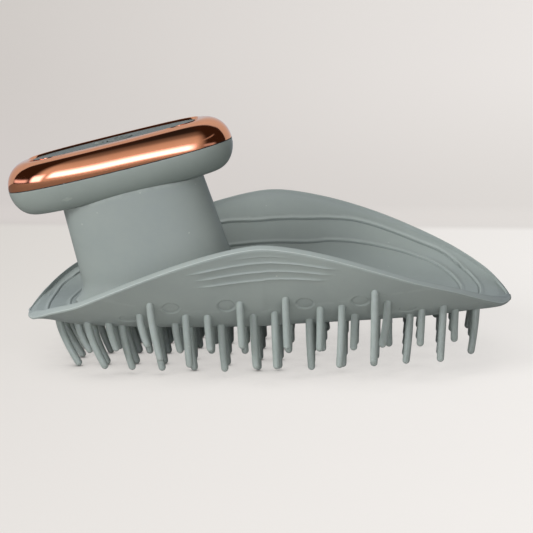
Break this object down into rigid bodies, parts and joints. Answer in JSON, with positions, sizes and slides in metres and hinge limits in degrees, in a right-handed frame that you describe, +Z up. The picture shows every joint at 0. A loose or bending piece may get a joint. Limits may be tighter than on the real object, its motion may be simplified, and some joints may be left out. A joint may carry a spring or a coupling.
{
  "type": "electric scalp massager",
  "caption": "Leaf shaped soft brush pad with round bristles under it, a leaning neck and a long rounded grip head with metal trim and one push button on top.",
  "frame": {"origin": "centre of the bounding box in X and Y, on the plane that the bristle ends stand on", "axes": "+X along the leaf shaped pad, from the grip end to the pointed end; +Y across the pad, to the side with the charge port; +Z up"},
  "size_m": [0.1348, 0.085, 0.0645],
  "materials": {
    "silicone": "soft matt silicone, grey green",
    "bristle_silicone": "soft matt silicone, grey green",
    "shell": "fine matt, grey green",
    "copper": "polished, copper coloured anodising",
    "inner_plastic": "moulded",
    "black_plastic": "fine matt",
    "black_rubber": "matt",
    "steel": "plain",
    "brass": "plain",
    "cell_foil": "foil pouch",
    "board": "solder mask"
  },
  "bodies": {
    "massager": {"brush_pad": "silicone", "bristles_long_left": "bristle_silicone", "bristles_long_right": "bristle_silicone", "bristles_short_left": "bristle_silicone", "bristles_short_right": "bristle_silicone", "base_plate": "inner_plastic", "neck_sleeve": "silicone", "neck_core": "inner_plastic", "neck_screws": "steel", "motor_cradle": "black_rubber", "motor_can": "steel", "battery_cell": "cell_foil", "cell_tray": "inner_plastic", "head_shell": "shell", "shell_gasket": "black_rubber", "copper_trim": "copper", "top_panel": "shell", "button_gasket": "black_rubber", "switch_body": "black_plastic", "circuit_board": "board", "board_chips": "black_plastic", "board_screws": "steel", "charge_port": "black_plastic", "charge_contacts": "brass", "charge_magnets": "steel"},
    "button": {"button_cap": "shell", "switch_plunger": "inner_plastic"},
    "rotor": {"motor_shaft": "steel", "eccentric_weight": "brass"}
  },
  "joints": [
    {"name": "button_press", "type": "slide", "parent": "massager", "child": "button", "axis": [0.247, 0, -0.969], "range_m": [0, 0.0006], "stiffness_N_per_m": 1500, "springref_m": -0.0003},
    {"name": "rotor_spin", "type": "hinge", "parent": "massager", "child": "rotor", "pos_m": [-0.02249, 0, 0.02446], "axis": [0.9993, 0, 0.0384], "continuous": true}
  ]
}
